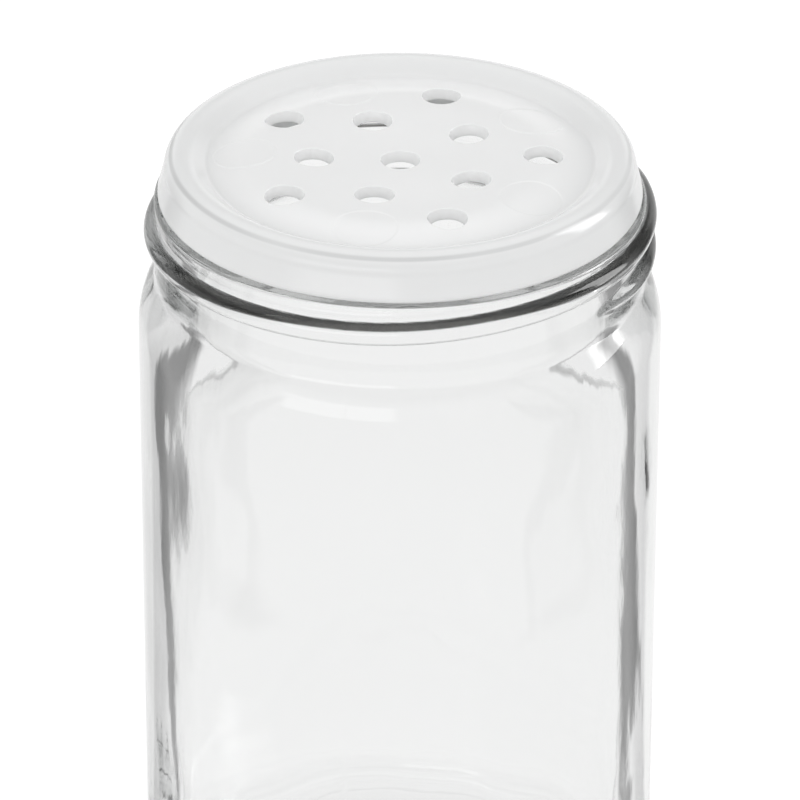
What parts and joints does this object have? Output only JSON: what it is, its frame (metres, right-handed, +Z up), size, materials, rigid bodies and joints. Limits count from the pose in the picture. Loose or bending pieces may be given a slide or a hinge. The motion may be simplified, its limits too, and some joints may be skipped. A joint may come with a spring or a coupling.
{
  "type": "spice jar",
  "caption": "Round clear glass spice jar with a screw-threaded neck and a pull-off moulded shaker insert.",
  "frame": {"origin": "centre of the base, on the surface that the jar stands on", "axes": "+Z up along the jar's axis, -Y towards the picture's viewer, +X to the viewer's right"},
  "size_m": [0.057, 0.057, 0.0972],
  "materials": {
    "clear_glass": "clear pressed glass, slightly wavy inside",
    "milky_plastic": "translucent milky moulded plastic, satin"
  },
  "bodies": {
    "jar": {"glass_jar": "clear_glass"},
    "insert": {"shaker_insert": "milky_plastic"}
  },
  "joints": [
    {"name": "insert_lift", "type": "slide", "parent": "jar", "child": "insert", "axis": [0, 0, 1], "range_m": [0, 0.03]}
  ]
}
